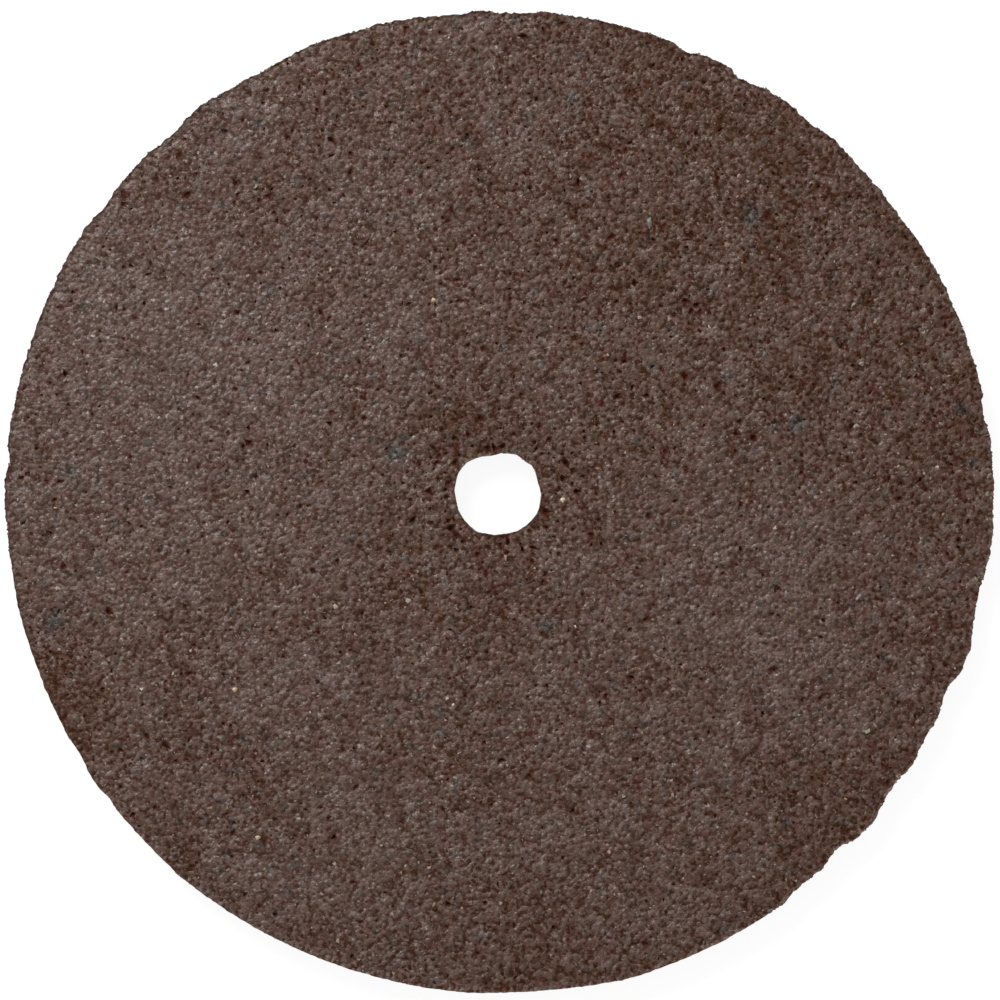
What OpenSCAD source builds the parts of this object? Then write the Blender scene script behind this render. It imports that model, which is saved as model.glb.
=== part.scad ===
// Small cut-off wheel for a rotary tool: one thin disc of abrasive grit bonded with resin,
// pressed flat, with an arbor hole through it. It lies on its lower face at z = 0, and the
// z axis is the axis of the hole. The rim is worn out of round, and chips have broken off it.

/* [Wheel] */
// Diameter over the high spots of the rim
wheel_d = 24.16; // [18:0.02:40]
// Thickness between the two pressed faces
wheel_t = 1; // [0.6:0.05:2]
// Width of the crumbled corner between the unworn rim and each face
rim_corner = 0.05; // [0.02:0.01:0.2]

/* [Arbor hole] */
// Diameter of the hole
bore_d = 2.05; // [1.5:0.05:8]
// Width of the crumbled corner between the hole and each face
bore_corner = 0.05; // [0.02:0.01:0.2]
// Centre of the rim from the axis of the hole, along X
rim_dx = 0.02; // [-0.4:0.01:0.4]
// Centre of the rim from the axis of the hole, along Y
rim_dy = -0.17; // [-0.4:0.01:0.4]

/* [Wear] */
// Deepest wear at the middle of a worn stretch of the rim
wear_depth = 0.12; // [0.02:0.01:0.4]
// Lean of a chip's broken face from the axis of the wheel
chip_lean = 6; // [0:1:15]

/* [Hidden] */
$fn = 180;

rim_r = wheel_d / 2;
bore_r = bore_d / 2;
// Reach of a cutter past the face that it cuts through
over = wheel_t / 2;

// Worn stretches of the rim: angle of the middle, angle spanned, share of the wear depth
worn = [
    [40, 26, 0.75],
    [78, 100, 0.9],
    [103.5, 25, 0.9],
    [118.5, 17, 1],
    [137, 24, 0.4],
    [170, 36, 0.35],
    [188, 18, 0.85],
    [204, 40, 1],
    [222, 28, 0.9],
    [246, 64, 0.85],
    [273, 24, 0.75],
    [318, 76, 0.45],
];

// Chips: angle, width of the mouth, depth under a straight edge laid across the mouth
chips = [
    [10.5, 0.7, 0.06],
    [50.5, 0.9, 0.05],
    [59.5, 0.9, 0.1],
    [67.5, 0.7, 0.07],
    [88.5, 1.3, 0.07],
    [96.5, 1.7, 0.05],
    [132, 0.9, 0.06],
    [143, 0.7, 0.05],
    [175.5, 0.7, 0.03],
    [211, 0.8, 0.04],
    [217.5, 0.6, 0.03],
    [308.8, 1.4, 0.065],
    [313.8, 1.2, 0.155],
    [324, 1.7, 0.09],
    [331, 1.9, 0.08],
    [336.5, 1.3, 0.15],
    [348, 2.2, 0.06],
];

// Radius of the arc that crosses a chord, from half of the chord and the arc's height over it
function arc_r(half, height) = (half ^ 2 + height ^ 2) / (2 * height);

// A worn stretch is a flatter arc: it leaves the round rim at both ends of its span, and is
// never worn so deep that the arc would turn hollow
function worn_most(w) = 0.95 * rim_r * (1 - cos(w[1] / 2));
function worn_low(w) = rim_r - min(wear_depth * w[2], worn_most(w));
function worn_arc(w) = arc_r(rim_r * sin(w[1] / 2), worn_low(w) - rim_r * cos(w[1] / 2));
function worn_at(w) = worn_low(w) - worn_arc(w);

// Distance from the rim's centre to a worn stretch's whole circle, at an angle
function worn_reach(w, angle) =
    worn_at(w) * cos(angle - w[0]) + sqrt(worn_arc(w) ^ 2 - (worn_at(w) * sin(angle - w[0])) ^ 2);

// Distance from the rim's centre to the rim, at an angle
function rim_reach(angle) = min(concat([rim_r], [for (w = worn) worn_reach(w, angle)]));

// Disc as it comes from the press, with both corners crumbled
module pressed_disc() {
    rotate_extrude()
        polygon([
            [0, 0],
            [rim_r - rim_corner, 0],
            [rim_r, rim_corner],
            [rim_r, wheel_t - rim_corner],
            [rim_r - rim_corner, wheel_t],
            [0, wheel_t],
        ]);
}

// Round rim cut down to the flatter arc of each worn stretch, where wear leaves the corners sharp
module worn_disc() {
    intersection() {
        pressed_disc();
        intersection_for (w = worn)
            rotate(w[0])
                translate([worn_at(w), 0, -over])
                    cylinder(h = wheel_t + 2 * over, r = worn_arc(w));
    }
}

// What broke away at one chip: a scallop that runs in deeper towards the lower face
module chip_cut(angle, mouth, depth) {
    half = mouth / 2;
    cut_r = arc_r(half, depth);
    cut_at = sqrt(rim_reach(angle) ^ 2 - half ^ 2) - depth + cut_r;
    rotate(angle)
        translate([cut_at, 0, wheel_t / 2])
            cylinder(
                h = wheel_t + 2 * over,
                r1 = cut_r + (wheel_t + over) * tan(chip_lean),
                r2 = cut_r - over * tan(chip_lean),
                center = true
            );
}

// Arbor hole, flared where its corners have crumbled
module bore_cut() {
    mouth_r = bore_r + bore_corner + over;
    rotate_extrude()
        polygon([
            [0, -over],
            [mouth_r, -over],
            [bore_r, bore_corner],
            [bore_r, wheel_t - bore_corner],
            [mouth_r, wheel_t + over],
            [0, wheel_t + over],
        ]);
}

module abrasive_wheel() {
    color("#59473f")
        difference() {
            translate([rim_dx, rim_dy, 0])
                difference() {
                    worn_disc();
                    for (c = chips) chip_cut(c[0], c[1], c[2]);
                }
            bore_cut();
        }
}

abrasive_wheel();
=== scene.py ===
import math

import bmesh
import bpy
import numpy as np
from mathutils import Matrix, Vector, noise
from mathutils.bvhtree import BVHTree
from mathutils.geometry import delaunay_2d_cdt


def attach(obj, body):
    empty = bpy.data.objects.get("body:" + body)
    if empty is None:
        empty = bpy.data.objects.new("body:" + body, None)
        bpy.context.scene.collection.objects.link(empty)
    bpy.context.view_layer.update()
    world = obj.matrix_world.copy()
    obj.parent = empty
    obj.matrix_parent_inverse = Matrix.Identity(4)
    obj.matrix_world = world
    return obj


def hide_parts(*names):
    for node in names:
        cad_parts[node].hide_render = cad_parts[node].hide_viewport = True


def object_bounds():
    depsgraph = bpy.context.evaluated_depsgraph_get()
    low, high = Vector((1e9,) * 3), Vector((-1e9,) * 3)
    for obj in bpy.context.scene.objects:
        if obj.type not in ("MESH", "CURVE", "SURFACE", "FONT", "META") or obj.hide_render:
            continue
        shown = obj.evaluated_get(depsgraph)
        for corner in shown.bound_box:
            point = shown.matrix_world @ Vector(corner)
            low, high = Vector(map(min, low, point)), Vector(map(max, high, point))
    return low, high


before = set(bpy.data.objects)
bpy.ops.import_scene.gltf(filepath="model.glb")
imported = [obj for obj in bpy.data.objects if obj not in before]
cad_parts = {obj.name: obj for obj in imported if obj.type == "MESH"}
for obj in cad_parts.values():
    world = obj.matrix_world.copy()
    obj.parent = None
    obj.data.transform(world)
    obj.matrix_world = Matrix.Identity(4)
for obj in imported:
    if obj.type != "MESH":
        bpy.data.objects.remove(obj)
cad_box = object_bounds()

# Pressed disc
# The wheel is one piece: fine brown fused-alumina grit in phenolic resin, pressed in a mould round
# a pin that leaves the arbor hole, and baked hard. Grains torn out of both faces leave pits, and
# crumbs are missing from the rim, the corners and the hole.

# Lengths in the values are millimetres, and angles are degrees
mm = 0.001
rng = np.random.default_rng(24)
face_z = cad_box[1][2] / mm
far_out = 40
rim_steps = 1080
bore_steps = 80
wall_steps = 7

# Crumbled corners between the walls and the faces
corner_drop = 0.07
corner_in = 0.05
corner_w = 0.25
corner_vary = 0.8
corner_round = 0.35
corner_sink = 0.05

# Uneven skin of the faces, a little under the tops of the grains
skin_sink = 0.03
skin_loose = 0.008
swell_w = 0.8
swell_lift = 0.006

# Crumbs missing from the rim, fewer along the stretch that was ground smooth, and from the hole
ragged_w = 0.13
ragged_depth = 0.045
scallop_w = 0.5
scallop_depth = 0.024
crumb_squash = 0.4
grit_loss = 0.03
bore_loss = (-0.4, 0.6)
rim_spare = 0.012
smooth_rim = (188, 303)
smooth_share = 0.35

# Spots for grains, and the chance that a grain is torn out
spot_gap = 0.15
skin_gap = 0.16
spot_tries = 60000
edge_clear = 0.1
torn_least = 0.1
torn_top = 0.16
torn_smooth = 0.08
torn_bore = 0.45
top_span = 20
bore_band = 0.9

# Pits that torn grains leave, with uneven lips
pit_edges = 6
pit_r = (0.026, 0.056)
pit_deep = (0.8, 1.6)
pit_aside = 0.3
pit_stretch = 1.5
pit_by_bore = 0.5
lip_turn = 0.3
lip_reach = (0.4, 1.6)
big_pit_share = 0.06
big_pit = 1.8

# Shine of the skin, in broad and in close patches, and the bare grit of the walls
broad_w = 1.7
broad_strength = 0.65
close_w = 0.6
close_strength = 0.6
wall_dark = 0.35
wall_burnish = -0.4

# Place in the noise of each face, and of each pattern
noise_step = (1, 2.3, -1.7)
top_place, base_place = 1, 2
broad_place, close_place = 3, 4
ragged_place, scallop_place = 5, 7
rim_corner_place, bore_corner_place = 11, 12

# Where the hole has lost crumbs, and where grit stands into it: angle, width and change of radius
bore_shape = [
    (2, 8, 0.025),
    (37, 13, 0.055),
    (65, 9, 0.04),
    (100, 17, -0.07),
    (147, 21, 0.07),
    (174, 10, 0.025),
    (218, 28, 0.015),
    (241, 8, 0.02),
    (256, 9, -0.02),
    (279, 12, -0.035),
    (337, 19, 0.05),
]

# Patches that the press left smooth, and rougher ones under nought: centre, reach and strength
patches = [
    (-8.4, 3.0, 5.0, 0.95),
    (5.8, -2.8, 3.0, 0.5),
    (-4.5, -7.0, 3.5, 0.25),
    (6.0, 7.5, 5.0, -0.75),
    (11.8, 1.5, 2.2, -0.7),
    (11.4, -3.5, 1.6, -0.6),
    (8.3, -8.3, 1.9, -1.0),
    (1.5, -11.8, 2.2, -0.6),
    (-11.2, -5.2, 1.6, -1.0),
    (-0.9, 1.0, 1.0, -1.3),
    (-0.5, -1.3, 1.5, -0.5),
    (1.1, 0.4, 0.8, -0.7),
]

# Clusters of blue-grey slag in the upper face: centre and reach
slag = [
    (7.29, 1.74, 0.2),
    (6.17, 6.79, 0.22),
    (-10.81, -3.09, 0.2),
    (-2.49, 1.01, 0.22),
    (1.24, -3.21, 0.16),
    (-10.42, 0.57, 0.15),
    (-4.15, -4.62, 0.13),
    (7.9, 3.35, 0.12),
    (4.97, 5.11, 0.12),
    (1.8, 9.64, 0.12),
    (11.39, 2.06, 0.12),
]

cad_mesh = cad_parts["abrasive_wheel"].data
solid = BVHTree.FromPolygons([v.co for v in cad_mesh.vertices], [p.vertices for p in cad_mesh.polygons])


def waves(points, width, place):
    """Smooth noise from -1 to 1 at points in millimetres, with lumps about as wide as given."""
    shift = Vector([place * step for step in noise_step])
    return np.array([noise.noise(Vector(p) / width + shift) for p in points])


def turns(count):
    """That many angles, spread once round."""
    return np.arange(count) * 2 * math.pi / count


def apart(angles, degrees):
    """Angles from a direction in degrees, from -180 to 180."""
    return (np.degrees(angles) - degrees + 180) % 360 - 180


def ring(angles, radii, height):
    """Points round the hole's axis."""
    return np.stack([radii * np.cos(angles), radii * np.sin(angles), np.full(len(angles), height)], 1)


def polar(spots):
    """Radii and angles of places."""
    return np.hypot(spots[:, 0], spots[:, 1]), np.arctan2(spots[:, 1], spots[:, 0]) % (2 * math.pi)


def wall_reach(angles, height, start):
    """Radii at which rays meet the CAD solid's wall: outwards from the axis, or inwards from a start."""
    found = []
    for a in angles:
        out = Vector((math.cos(a), math.sin(a), 0))
        hit = solid.ray_cast((out * start + Vector((0, 0, height))) * mm, -out if start else out)[0]
        found.append(hit.to_2d().length / mm)
    return np.array(found)


def rim_rough(angles):
    """Share of its full roughness that the rim has at angles, less where it was ground smooth."""
    return np.where(np.abs(apart(angles, np.mean(smooth_rim))) < np.ptp(smooth_rim) / 2, smooth_share, 1)


def rim_ring(height):
    """The rim at one height, with crumbs missing that run on along the wall's height."""
    angles = turns(rim_steps)
    radii = wall_reach(angles, height, far_out)
    places = ring(angles, radii, height * crumb_squash)
    loss = ragged_depth * waves(places, ragged_w, ragged_place)
    loss = loss + scallop_depth * waves(places, scallop_w, scallop_place)
    loss += grit_loss * rng.random(rim_steps)
    return ring(angles, radii + rim_spare - rim_rough(angles) * loss, height)


def bore_ring(height):
    """The hole's wall at one height."""
    angles = turns(bore_steps)
    radii = wall_reach(angles, height, 0)
    for middle, width, change in bore_shape:
        radii = radii + change * np.exp(-(apart(angles, middle) / width) ** 2)
    return ring(angles, radii + grit_loss * rng.uniform(*bore_loss, bore_steps), height)


def edge_gaps(spots, rim, bore):
    """Distances of places on a face from the rim's edge and from the hole's edge."""
    radii, angles = polar(spots)
    rim_r = np.interp(angles, turns(rim_steps), polar(rim)[0], period=2 * math.pi)
    bore_r = np.interp(angles, turns(bore_steps), polar(bore)[0], period=2 * math.pi)
    return rim_r - radii, radii - bore_r


def scatter(gap, rim, bore, taken=()):
    """Random places on a face, clear of its edges, each at least the gap from the others and from
    those that are taken."""
    spots = rng.uniform(-1, 1, (spot_tries, 2)) * np.abs(rim).max()
    spots = spots[np.min(edge_gaps(spots, rim, bore), axis=0) > edge_clear]
    cells = {}
    chosen = []
    for known, (x, y) in [(True, s) for s in taken] + [(False, s) for s in spots]:
        i, j = int(x // gap), int(y // gap)
        near = [p for u in (-1, 0, 1) for v in (-1, 0, 1) for p in cells.get((i + u, j + v), ())]
        if known or all((x - p) ** 2 + (y - q) ** 2 > gap ** 2 for p, q in near):
            cells.setdefault((i, j), []).append((x, y))
            if not known:
                chosen.append((x, y))
    return np.array(chosen)


def burnish(spots, place):
    """How smooth the press left the skin at places on a face, about nought on average."""
    spots = np.c_[spots, np.full(len(spots), place)]
    level = broad_strength * waves(spots, broad_w, place + broad_place)
    level = level + close_strength * waves(spots, close_w, place + close_place)
    for x, y, reach, strength in patches:
        level += strength * np.exp(-((spots[:, 0] - x) ** 2 + (spots[:, 1] - y) ** 2) / reach ** 2)
    return level


def pressed_face(up, place):
    """One face: points, triangles, which points are pit bottoms, burnish, and spots left for grains."""
    wall = 0 if up else -1
    edge_z = face_z - skin_sink if up else skin_sink
    rim_r, rim_a = polar(rim_rings[wall])
    rim_vary = corner_vary * waves(rim_rings[wall], corner_w, place + rim_corner_place)
    bore_r, bore_a = polar(bore_rings[wall])
    bore_vary = corner_vary * waves(bore_rings[wall], corner_w, place + bore_corner_place)
    rim = ring(rim_a, rim_r - corner_in * (1 + rim_vary), edge_z)
    bore = ring(bore_a, bore_r + corner_in * (1 + bore_vary), edge_z)

    # More grains are torn out towards +Y, in the rough patches and round the hole.
    spots = scatter(spot_gap, rim, bore)
    by_bore = np.exp(-(edge_gaps(spots, rim, bore)[1] / bore_band) ** 2)
    by_top = np.clip(0.5 + spots[:, 1] / top_span, 0, 1)
    chance = torn_least + torn_top * by_top - torn_smooth * burnish(spots, place) + torn_bore * by_bore
    torn = rng.random(len(spots)) < chance
    pits, grains, by_bore = spots[torn], spots[~torn], by_bore[torn]
    skin = scatter(skin_gap, rim, bore, pits)

    wide = rng.uniform(*pit_r, len(pits)) * (1 + pit_by_bore * by_bore)
    wide *= np.where(rng.random(len(pits)) < big_pit_share, big_pit, 1)
    around = turns(pit_edges) + rng.uniform(0, 2 * math.pi, (len(pits), 1))
    around = around + rng.uniform(-lip_turn, lip_turn, around.shape)
    lips = wide[:, None] * rng.uniform(*lip_reach, around.shape)
    lips = np.stack([lips * np.cos(around), lips * np.sin(around)], 2)
    along = rng.uniform(0, 2 * math.pi, len(pits))
    along = np.stack([np.cos(along), np.sin(along)], 1)[:, None]
    stretch = rng.uniform(0, pit_stretch, (len(pits), 1, 1))
    lips = lips + along * np.sum(lips * along, 2, keepdims=True) * stretch
    bottoms = pits + wide[:, None] * rng.uniform(-pit_aside, pit_aside, pits.shape)

    flat = np.concatenate([rim[:, :2], bore[:, :2], skin, (lips + pits[:, None]).reshape(-1, 2), bottoms])
    near = np.clip(1 - np.min(edge_gaps(flat, rim, bore), axis=0) / corner_round, 0, 1)
    sink = swell_lift * (1 + waves(np.c_[flat, np.full(len(flat), place)], swell_w, place))
    sink += skin_loose * rng.random(len(flat)) + corner_sink * near ** 2
    sink[-len(pits):] += wide * rng.uniform(*pit_deep, len(pits))
    hollow = np.zeros(len(flat))
    hollow[-len(pits):] = 1

    fill_loops = 1
    weld = 1e-7
    loops = [(i, (i + 1) % rim_steps) for i in range(rim_steps)]
    loops += [(rim_steps + i, rim_steps + (i + 1) % bore_steps) for i in range(bore_steps)]
    tris = np.array(delaunay_2d_cdt([Vector(p) for p in flat], loops, [], fill_loops, weld)[2])
    tris = tris[edge_gaps(flat[tris].mean(1), rim, bore)[1] > 0]
    points = np.c_[flat, edge_z - sink if up else edge_z + sink]
    return points, tris if up else tris[:, ::-1], hollow, burnish(flat, place), grains


def band(upper, lower):
    """Quads between two rings of point numbers, facing away from the axis."""
    return np.stack([upper, lower, np.roll(lower, -1), np.roll(upper, -1)], 1)


heights = np.linspace(face_z - corner_drop, corner_drop, wall_steps)
rim_rings = [rim_ring(z) for z in heights]
bore_rings = [bore_ring(z) for z in heights]
top, top_tris, top_hollow, top_burnish, top_spots = pressed_face(True, top_place)
base, base_tris, base_hollow, base_burnish, base_spots = pressed_face(False, base_place)
points = np.concatenate([top, base] + rim_rings + bore_rings)

rim_ids = len(top) + len(base) + np.arange(wall_steps * rim_steps).reshape(wall_steps, -1)
bore_ids = rim_ids.max() + 1 + np.arange(wall_steps * bore_steps).reshape(wall_steps, -1)
rim_ids = [np.arange(rim_steps), *rim_ids, len(top) + np.arange(rim_steps)]
bore_ids = [rim_steps + np.arange(bore_steps), *bore_ids, len(top) + rim_steps + np.arange(bore_steps)]
rim_quads = np.concatenate([band(a, b) for a, b in zip(rim_ids, rim_ids[1:])])
bore_quads = np.concatenate([band(b, a) for a, b in zip(bore_ids, bore_ids[1:])])
tris = np.concatenate([top_tris, base_tris + len(top)])
disc_mesh = bpy.data.meshes.new("grit_disc")
disc_mesh.from_pydata(points * mm, [], tris.tolist() + rim_quads.tolist() + bore_quads.tolist())

# The walls are bare grit between their end rings, which belong to the corners.
inner_rings = [0] + [1] * (wall_steps - 2) + [0]
walls = np.concatenate([np.repeat(inner_rings, rim_steps), np.repeat(inner_rings, bore_steps)])
hollow = np.concatenate([top_hollow, base_hollow, walls * wall_dark])
slagged = np.zeros(len(points))
for x, y, reach in slag:
    slagged[:len(top)] += np.exp(-((top[:, 0] - x) ** 2 + (top[:, 1] - y) ** 2) / reach ** 2)
skin_values = {
    "hollow": hollow,
    "burnish": np.concatenate([top_burnish, base_burnish, walls * wall_burnish]),
    "slate": slagged,
}
for name, values in skin_values.items():
    disc_mesh.attributes.new(name, "FLOAT", "POINT").data.foreach_set("value", values.astype(np.float32))
smooth = np.zeros(len(disc_mesh.polygons), bool)
smooth[:len(tris)] = hollow[tris].max(1) == 0
disc_mesh.polygons.foreach_set("use_smooth", smooth)

# The texture map lays the two faces out as discs, each with half of the rim's wall spread round it
# and half of the hole's wall spread inside its hole.
map_r = 1 / (2 + math.sqrt(2))
map_reach = 12.9
map_mm = map_r / map_reach
rim_spread = 1
bore_spread = -0.9


def lay_map(mesh, places, up, spread):
    """Gives a mesh its texture map, from a place for each corner of each face."""
    radii, angles = polar(places)
    radii = map_mm * (radii + spread * np.where(up, face_z - places[:, 2], places[:, 2]))
    u = np.where(up, map_r + radii * np.cos(angles), 1 - map_r - radii * np.cos(angles))
    v = np.where(up, map_r, 1 - map_r) + radii * np.sin(angles)
    mesh.uv_layers.new(name="OFBake").data.foreach_set("uv", np.stack([u, v], 1).astype(np.float32).ravel())


corners = np.concatenate([tris.ravel(), rim_quads.ravel(), bore_quads.ravel()])
upper = np.concatenate([
    np.repeat([True, False], [len(top_tris) * 3, len(base_tris) * 3]),
    np.arange(rim_quads.size) < rim_quads.size / 2,
    np.arange(bore_quads.size) < bore_quads.size / 2,
])
spread = np.repeat([0, rim_spread, bore_spread], [tris.size, rim_quads.size, bore_quads.size])
lay_map(disc_mesh, points[corners], upper, spread)
disc_mesh.update()
disc = bpy.data.objects.new("grit_disc", disc_mesh)
bpy.context.scene.collection.objects.link(disc)


def linear(hex_colour):
    """An sRGB hex colour as a linear colour with full alpha."""
    parts = [int(hex_colour[i:i + 2], 16) / 255 for i in (1, 3, 5)]
    return [c / 12.92 if c <= 0.04045 else ((c + 0.055) / 1.055) ** 2.4 for c in parts] + [1]


def add(tree, kind, inputs=None, **settings):
    """Adds a node, with its settings, and each input set to a value or linked to an output."""
    made = tree.nodes.new(kind)
    for name, value in settings.items():
        setattr(made, name, value)
    for name, value in (inputs or {}).items():
        if isinstance(value, bpy.types.NodeSocket):
            tree.links.new(value, made.inputs[name])
        else:
            made.inputs[name].default_value = value
    return made


def per_metre(width_mm):
    """Scale of a pattern whose lumps are that wide."""
    return 1 / (width_mm * mm)


# Resin-bonded fines: a dark red-brown skin, crinkled by the grains under it, that reflects the
# white room as a grey haze; the haze is missing in gaps and pits, and both are painted darker as
# shade: the gaps a little, the pits red-black, the resin's red with painted shade.
grit_dark = linear("#3c2416")
grit_light = linear("#543a2b")
rust_brown = linear("#4b241b")
slag_grey = linear("#302e2b")
pit_red_shade = linear("#451508")
cell_w = 0.12
fine_w = 0.1
mottle_w = 0.4
hue_w = 0.3
cell_relief = 0.75
skin_relief = 0.043
resin_ior = 1.57
# A colour mix has several sockets of each name, so its own are known by number
mix_share, mix_from, mix_to, mix_out = 0, 6, 7, 2

bonded_grit = bpy.data.materials.new("resin_bonded_grit")
bonded_grit.use_nodes = True
tree = bonded_grit.node_tree
shader = tree.nodes["Principled BSDF"]
place = add(tree, "ShaderNodeTexCoord").outputs["Object"]
grain = add(tree, "ShaderNodeTexVoronoi", {"Vector": place, "Scale": per_metre(cell_w)})
fine = add(tree, "ShaderNodeTexNoise", {"Vector": place, "Scale": per_metre(fine_w), "Detail": 3.0})
mottle = add(tree, "ShaderNodeTexNoise", {"Vector": place, "Scale": per_metre(mottle_w), "Detail": 2.0})
hue = add(tree, "ShaderNodeTexNoise", {"Vector": place, "Scale": per_metre(hue_w), "Detail": 1.0})
cell = add(tree, "ShaderNodeSeparateColor", {"Color": grain.outputs["Color"]})
depth = add(tree, "ShaderNodeAttribute", attribute_name="hollow")
rubbed = add(tree, "ShaderNodeAttribute", attribute_name="burnish")
slate = add(tree, "ShaderNodeAttribute", attribute_name="slate")
closed = add(tree, "ShaderNodeMapRange", {
    "Value": fine.outputs["Fac"], "From Min": 0.37, "From Max": 0.51,
})

tone = add(tree, "ShaderNodeValToRGB", {"Fac": cell.outputs["Red"]})
stops = tone.color_ramp.elements
stops[0].color = grit_dark
stops[1].color = grit_light
rusty = add(tree, "ShaderNodeMapRange", {
    "Value": hue.outputs["Fac"], "From Min": 0.45, "From Max": 0.75, "To Max": 0.6,
})
tone = add(tree, "ShaderNodeMix", {
    mix_share: rusty.outputs["Result"], mix_from: tone.outputs["Color"], mix_to: rust_brown,
}, data_type="RGBA")
slaty = add(tree, "ShaderNodeMapRange", {
    "Value": hue.outputs["Fac"], "From Min": 0.38, "From Max": 0.22, "To Max": 0.6,
})
slaty = add(tree, "ShaderNodeMath", {
    0: slaty.outputs["Result"], 1: slate.outputs["Fac"],
}, operation="ADD", use_clamp=True)
tone = add(tree, "ShaderNodeMix", {
    mix_share: slaty.outputs[0], mix_from: tone.outputs[mix_out], mix_to: slag_grey,
}, data_type="RGBA")
# Painted shade: the gaps between grains are painted up to a quarter darker.
shade = add(tree, "ShaderNodeMapRange", {"Value": closed.outputs["Result"], "To Min": 0.75, "To Max": 1.0})
tone = add(tree, "ShaderNodeMix", {
    mix_share: 1.0, mix_from: tone.outputs[mix_out], mix_to: shade.outputs["Result"],
}, data_type="RGBA", blend_type="MULTIPLY")
# Painted shade: the pits are painted red-black, the resin's red darkened as shade in a hole; the walls take
# a share of it.
tone = add(tree, "ShaderNodeMix", {
    mix_share: depth.outputs["Fac"], mix_from: tone.outputs[mix_out], mix_to: pit_red_shade,
}, data_type="RGBA")

haze = add(tree, "ShaderNodeMapRange", {"Value": cell.outputs["Red"], "To Min": 0.26, "To Max": 0.58})
mottled = add(tree, "ShaderNodeMapRange", {
    "Value": mottle.outputs["Fac"], "From Min": 0.3, "From Max": 0.7, "To Min": 0.65, "To Max": 1.35,
})
haze = add(tree, "ShaderNodeMath", {
    0: haze.outputs["Result"], 1: mottled.outputs["Result"],
}, operation="MULTIPLY")
haze = add(tree, "ShaderNodeMath", {0: haze.outputs[0], 1: closed.outputs["Result"]}, operation="MULTIPLY")
polish = add(tree, "ShaderNodeMapRange", {
    "Value": rubbed.outputs["Fac"], "From Min": -1.0, "From Max": 1.0, "To Min": -0.12, "To Max": 0.2,
})
haze = add(tree, "ShaderNodeMath", {
    0: haze.outputs[0], 1: polish.outputs["Result"],
}, operation="ADD", use_clamp=True)
unpitted = add(tree, "ShaderNodeMath", {0: 1.0, 1: depth.outputs["Fac"]}, operation="SUBTRACT")
haze = add(tree, "ShaderNodeMath", {0: haze.outputs[0], 1: unpitted.outputs[0]}, operation="MULTIPLY")

height = add(tree, "ShaderNodeMath", {
    0: grain.outputs["Distance"], 1: -cell_relief, 2: fine.outputs["Fac"],
}, operation="MULTIPLY_ADD")
bump = add(tree, "ShaderNodeBump", {
    "Height": height.outputs[0], "Distance": skin_relief * mm, "Strength": 1.0,
})
gloss = add(tree, "ShaderNodeMapRange", {"Value": cell.outputs["Blue"], "To Min": 0.35, "To Max": 0.6})
tree.links.new(tone.outputs[mix_out], shader.inputs["Base Color"])
tree.links.new(haze.outputs[0], shader.inputs["Specular IOR Level"])
tree.links.new(gloss.outputs["Result"], shader.inputs["Roughness"])
tree.links.new(bump.outputs["Normal"], shader.inputs["Normal"])
shader.inputs["IOR"].default_value = resin_ior

disc_mesh.materials.append(bonded_grit)
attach(disc, "root")
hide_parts("abrasive_wheel")

# Proud grains
# The same fused-alumina grit, where broken crystals stand out of the pressed skin and catch the
# light. They are bonded into the disc by the resin, so they ride with it as one piece.
shape_count = 24
shape_points = 7
grain_r = (0.036, 0.07)
grain_squash = (0.6, 1.0)
grain_proud = (0.014, 0.032)
wall_rows = 6
wall_columns = 440
wall_share = 0.8
wall_jitter = 0.4

# Kinds of crystal: share, size against the common ones, and colour
grain_kinds = [
    (0.46, 1.0, "#4a3328"),
    (0.27, 1.0, "#5f493e"),
    (0.14, 1.1, "#7b6a60"),
    (0.012, 1.5, "#978b80"),
    (0.06, 1.0, "#43221a"),
    (0.03, 1.6, "#87755d"),
    (0.008, 1.4, "#805f42"),
    (0.05, 1.8, "#675f4b"),
    (0.004, 2.2, "#464340"),
]

# Large odd crystals that can be told apart: place, size along X and Y, and colour
odd_points = 20
odd_proud = 0.036
odd_flat = 0.36
odd_grains = [
    (-4.86, -7.94, 0.20, 0.18, "#77685f"),
    (4.75, -2.77, 0.20, 0.17, "#7c6b62"),
    (-1.57, 4.74, 0.14, 0.14, "#b8a888"),
    (-5.86, -8.38, 0.18, 0.14, "#b3a587"),
    (-2.05, 1.38, 0.15, 0.14, "#85796f"),
    (1.58, -0.14, 0.16, 0.15, "#d3c5a4"),
    (-6.42, -4.77, 0.18, 0.15, "#b9a67c"),
    (-3.96, -2.75, 0.17, 0.16, "#a5977c"),
    (-10.74, -2.31, 0.19, 0.13, "#8d806c"),
    (8.87, 3.18, 0.20, 0.15, "#726460"),
    (3.7, 6.62, 0.19, 0.42, "#5a594e"),
    (5.6, 6.08, 0.24, 0.18, "#785a46"),
]


def crystal(count):
    """One broken crystal of unit radius, with that many corners: its points and its triangles."""
    body = bmesh.new()
    for p in rng.normal(size=(count, 3)):
        body.verts.new(p / np.linalg.norm(p))
    bmesh.ops.convex_hull(body, input=body.verts)
    body.verts.index_update()
    corners = np.array([v.co for v in body.verts])
    faces = np.array([[v.index for v in f.verts] for f in body.faces])
    body.free()
    return corners, faces


def spins(count):
    """Random rotations, as matrices."""
    q = rng.normal(size=(count, 4))
    w, x, y, z = (q / np.linalg.norm(q, axis=1, keepdims=True)).T
    return np.stack([
        1 - 2 * (y * y + z * z), 2 * (x * y - z * w), 2 * (x * z + y * w),
        2 * (x * y + z * w), 1 - 2 * (x * x + z * z), 2 * (y * z - x * w),
        2 * (x * z - y * w), 2 * (y * z + x * w), 1 - 2 * (x * x + y * y),
    ], 1).reshape(-1, 3, 3)


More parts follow.
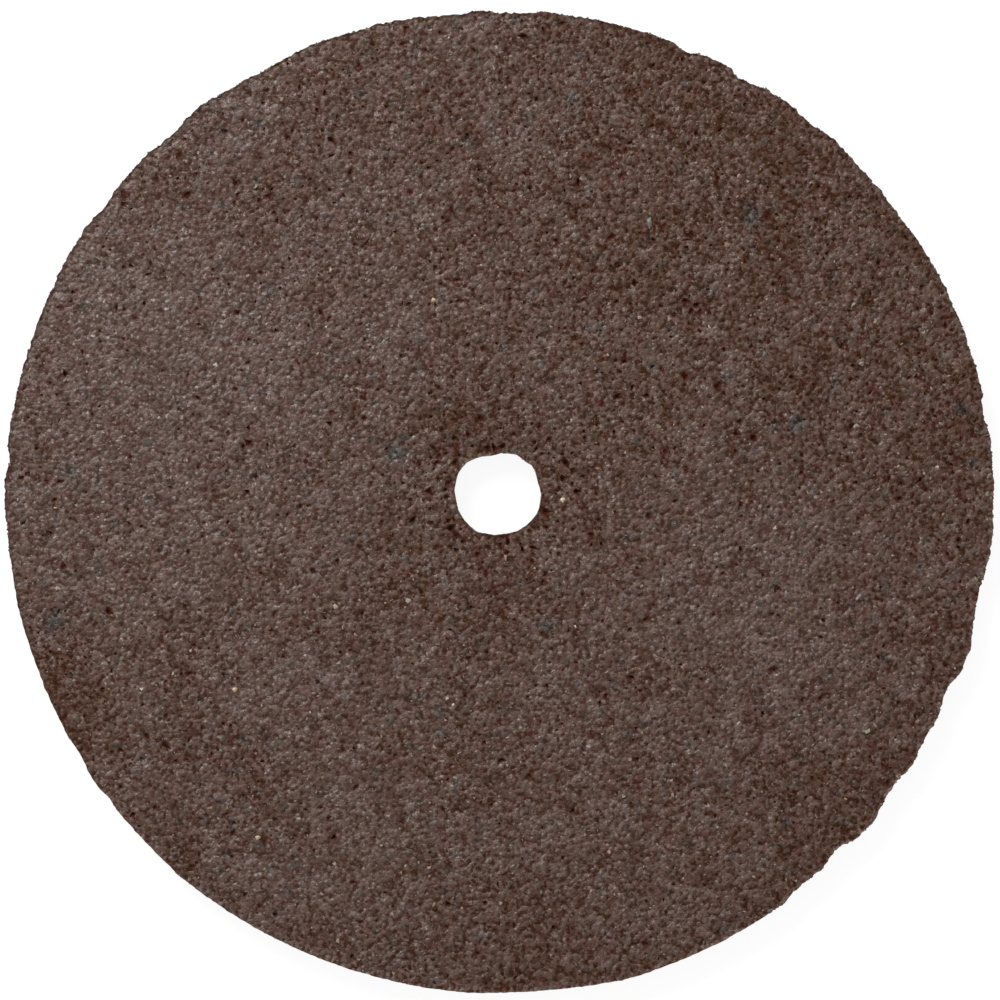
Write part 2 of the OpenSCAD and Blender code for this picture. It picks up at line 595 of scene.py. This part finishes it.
skin_tree = BVHTree.FromPolygons(points.tolist(), tris.tolist() + rim_quads.tolist())
shapes = [crystal(shape_points) for _ in range(shape_count)] + [crystal(odd_points)]
odd_shape = shape_count
shares = np.array([share for share, _, _ in grain_kinds])
growth = np.array([size for _, size, _ in grain_kinds])
colours = np.array([linear(colour) for _, _, colour in grain_kinds])
grain_points = []
grain_faces = []
grain_tints = []
grain_upper = []


def bed(outside, outward, up, which, frames, proud, tints):
    """Sets crystals into the disc, under points outside it: each frame turns and sizes a shape, which
    then stands that proud along its outward direction."""
    for start, out, k, turned, stand, tint in zip(outside, outward, which, frames, proud, tints):
        body = shapes[k][0] @ turned.T
        skin = np.array(skin_tree.ray_cast(start, -out)[0])
        grain_faces.append(shapes[k][1])
        grain_points.append(body + skin + out * (stand - (body @ out).max()))
        grain_tints.append(tint)
    grain_upper.extend(up)


def bed_many(outside, outward, up, rough):
    """Sets many crystals of mixed kinds and sizes, turned at random."""
    n = len(outside)
    kinds = rng.choice(len(shares), n, p=shares / shares.sum())
    sizes = rng.uniform(*grain_r, (n, 1)) * growth[kinds, None] * rng.uniform(*grain_squash, (n, 3))
    which = rng.integers(0, shape_count, n)
    proud = rng.uniform(*grain_proud, n) * rough
    bed(outside, outward, up, which, spins(n) * sizes[:, None], proud, colours[kinds])


for spots, way in ((top_spots, 1), (base_spots, -1)):
    n = len(spots)
    outside = np.c_[spots, np.full(n, way * far_out)]
    bed_many(outside, np.tile([0.0, 0.0, way], (n, 1)), [way > 0] * n, rough=1)

columns, rows = np.meshgrid(np.arange(wall_columns), np.arange(wall_rows) + 0.5)
columns, rows = np.stack([columns, rows]).reshape(2, -1)[:, rng.random(columns.size) < wall_share]
angles = (columns + rng.uniform(-wall_jitter, wall_jitter, len(columns))) * 2 * math.pi / wall_columns
levels = rows + rng.uniform(-wall_jitter, wall_jitter, len(rows))
levels = corner_drop + (face_z - 2 * corner_drop) * levels / wall_rows
outward = ring(angles, np.ones(len(angles)), 0)
outside = outward * far_out + np.outer(levels, (0, 0, 1))
bed_many(outside, outward, levels > face_z / 2, rim_rough(angles))

for x, y, along_x, along_y, colour in odd_grains:
    a = rng.uniform(0, 2 * math.pi)
    spun = np.array([[math.cos(a), -math.sin(a), 0], [math.sin(a), math.cos(a), 0], [0, 0, 1]])
    lie = np.diag([along_x / 2, along_y / 2, odd_flat * min(along_x, along_y)]) @ spun
    above = np.array([x, y, far_out])
    bed([above], [np.array([0, 0, 1])], [True], [odd_shape], [lie], [odd_proud], [linear(colour)])

grain_sizes = [len(body) for body in grain_points]
starts = np.cumsum([0] + grain_sizes[:-1])
grain_corners = np.concatenate([faces + start for faces, start in zip(grain_faces, starts)])
grain_places = np.concatenate(grain_points)
grain_mesh = bpy.data.meshes.new("proud_grains")
grain_mesh.from_pydata(grain_places * mm, [], grain_corners.tolist())
tint_layer = grain_mesh.attributes.new("tint", "FLOAT_COLOR", "POINT")
tint_layer.data.foreach_set("color", np.repeat(grain_tints, grain_sizes, 0).astype(np.float32).ravel())
grain_mesh.shade_flat()
upper = np.repeat(grain_upper, [faces.size for faces in grain_faces])
lay_map(grain_mesh, grain_places[grain_corners.ravel()], upper, 0)
grain_mesh.update()
grains = bpy.data.objects.new("proud_grains", grain_mesh)
bpy.context.scene.collection.objects.link(grains)

# Fused alumina: a hard glassy mineral that glints, mostly brown, with a few cream, tan, orange-brown,
# olive and blue-grey crystals.
facet_w = 0.04
facet_relief = 0.012
alumina_ior = 1.76
alumina_shine = 0.35
alumina = bpy.data.materials.new("fused_alumina")
alumina.use_nodes = True
tree = alumina.node_tree
shader = tree.nodes["Principled BSDF"]
place = add(tree, "ShaderNodeTexCoord").outputs["Object"]
fine = add(tree, "ShaderNodeTexNoise", {"Vector": place, "Scale": per_metre(facet_w), "Detail": 2.0})
tint = add(tree, "ShaderNodeAttribute", attribute_name="tint")
shade = add(tree, "ShaderNodeMapRange", {
    "Value": fine.outputs["Fac"], "From Min": 0.3, "From Max": 0.7, "To Min": 0.7, "To Max": 1.3,
})
tone = add(tree, "ShaderNodeMix", {
    mix_share: 1.0, mix_from: tint.outputs["Color"], mix_to: shade.outputs["Result"],
}, data_type="RGBA", blend_type="MULTIPLY")
bump = add(tree, "ShaderNodeBump", {
    "Height": fine.outputs["Fac"], "Distance": facet_relief * mm, "Strength": 1.0,
})
gloss = add(tree, "ShaderNodeMapRange", {
    "Value": fine.outputs["Fac"], "From Min": 0.3, "From Max": 0.7, "To Min": 0.32, "To Max": 0.48,
})
tree.links.new(tone.outputs[mix_out], shader.inputs["Base Color"])
tree.links.new(gloss.outputs["Result"], shader.inputs["Roughness"])
tree.links.new(bump.outputs["Normal"], shader.inputs["Normal"])
shader.inputs["IOR"].default_value = alumina_ior
shader.inputs["Specular IOR Level"].default_value = alumina_shine

grain_mesh.materials.append(alumina)
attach(grains, "root")
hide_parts("abrasive_wheel")

# Floor
# A plain white sheet of card that the wheel lies on, only just under its lower face.
floor_drop = 0.02
floor_half = 1000
floor_glow = 0.9
floor_grey = 0.2
sheet = [(-1, -1), (1, -1), (1, 1), (-1, 1)]
sheet = [Vector((x * floor_half, y * floor_half, -floor_drop)) * mm for x, y in sheet]
floor_mesh = bpy.data.meshes.new("floor")
floor_mesh.from_pydata(sheet, [], [(0, 1, 2, 3)])
floor = bpy.data.objects.new("floor", floor_mesh)
bpy.context.scene.collection.objects.link(floor)


def seen_rays(tree):
    """Output that is 1 for what the camera sees, straight or in a reflection, and otherwise 0."""
    rays = add(tree, "ShaderNodeLightPath").outputs
    seen = add(tree, "ShaderNodeMath", {
        0: rays["Is Camera Ray"], 1: rays["Is Glossy Ray"],
    }, operation="MAXIMUM")
    seen = add(tree, "ShaderNodeMath", {
        0: seen.outputs[0], 1: rays["Is Transmission Ray"],
    }, operation="MAXIMUM")
    return seen.outputs[0]


# White card: glows white where it is seen, and its grey face takes a faint shadow.
white_card = bpy.data.materials.new("white_card")
white_card.use_nodes = True
tree = white_card.node_tree
tree.nodes.clear()
glow = add(tree, "ShaderNodeMath", {0: seen_rays(tree), 1: floor_glow}, operation="MULTIPLY")
glow = add(tree, "ShaderNodeEmission", {"Strength": glow.outputs[0]})
matte = add(tree, "ShaderNodeBsdfDiffuse", {"Color": [floor_grey] * 3 + [1]})
both = add(tree, "ShaderNodeAddShader", {0: glow.outputs[0], 1: matte.outputs[0]})
add(tree, "ShaderNodeOutputMaterial", {"Surface": both.outputs[0]})
floor_mesh.materials.append(white_card)

# Studio light
# One soft box above the upper left of the wheel, and a white room all round that fills the rest.
room_fill = 0.6
room_seen = 1.0
room = bpy.data.worlds.new("white_room")
bpy.context.scene.world = room
room.use_nodes = True
tree = room.node_tree
tree.nodes.clear()
level = add(tree, "ShaderNodeMapRange", {"Value": seen_rays(tree), "To Min": room_fill, "To Max": room_seen})
sky = add(tree, "ShaderNodeBackground", {"Strength": level.outputs["Result"]})
add(tree, "ShaderNodeOutputWorld", {"Surface": sky.outputs[0]})

box_place = Vector((-43, 67, 85)) * mm
box_wide = 60
box_watts = 0.11
soft_box = bpy.data.lights.new("soft_box", "AREA")
soft_box.size = box_wide * mm
soft_box.energy = box_watts
soft_box_object = bpy.data.objects.new("soft_box", soft_box)
soft_box_object.location = box_place
soft_box_object.rotation_euler = (-box_place).to_track_quat("-Z", "Y").to_euler()
bpy.context.scene.collection.objects.link(soft_box_object)

# Camera
# Straight down on the upper face, with a long lens, framed so that the wheel fills the picture.
frame_w = 24.39
frame_x = 0.055
frame_y = -0.148
lens_mm = 400
sensor_mm = 36
near_clip = 1
lens = bpy.data.cameras.new("camera")
lens.lens = lens_mm
lens.sensor_width = sensor_mm
lens.clip_start = near_clip * mm
camera = bpy.data.objects.new("camera", lens)
camera.location = Vector((frame_x, frame_y, face_z + frame_w * lens_mm / sensor_mm)) * mm
bpy.context.scene.collection.objects.link(camera)
bpy.context.scene.camera = camera
bpy.context.scene.view_settings.view_transform = "Standard"
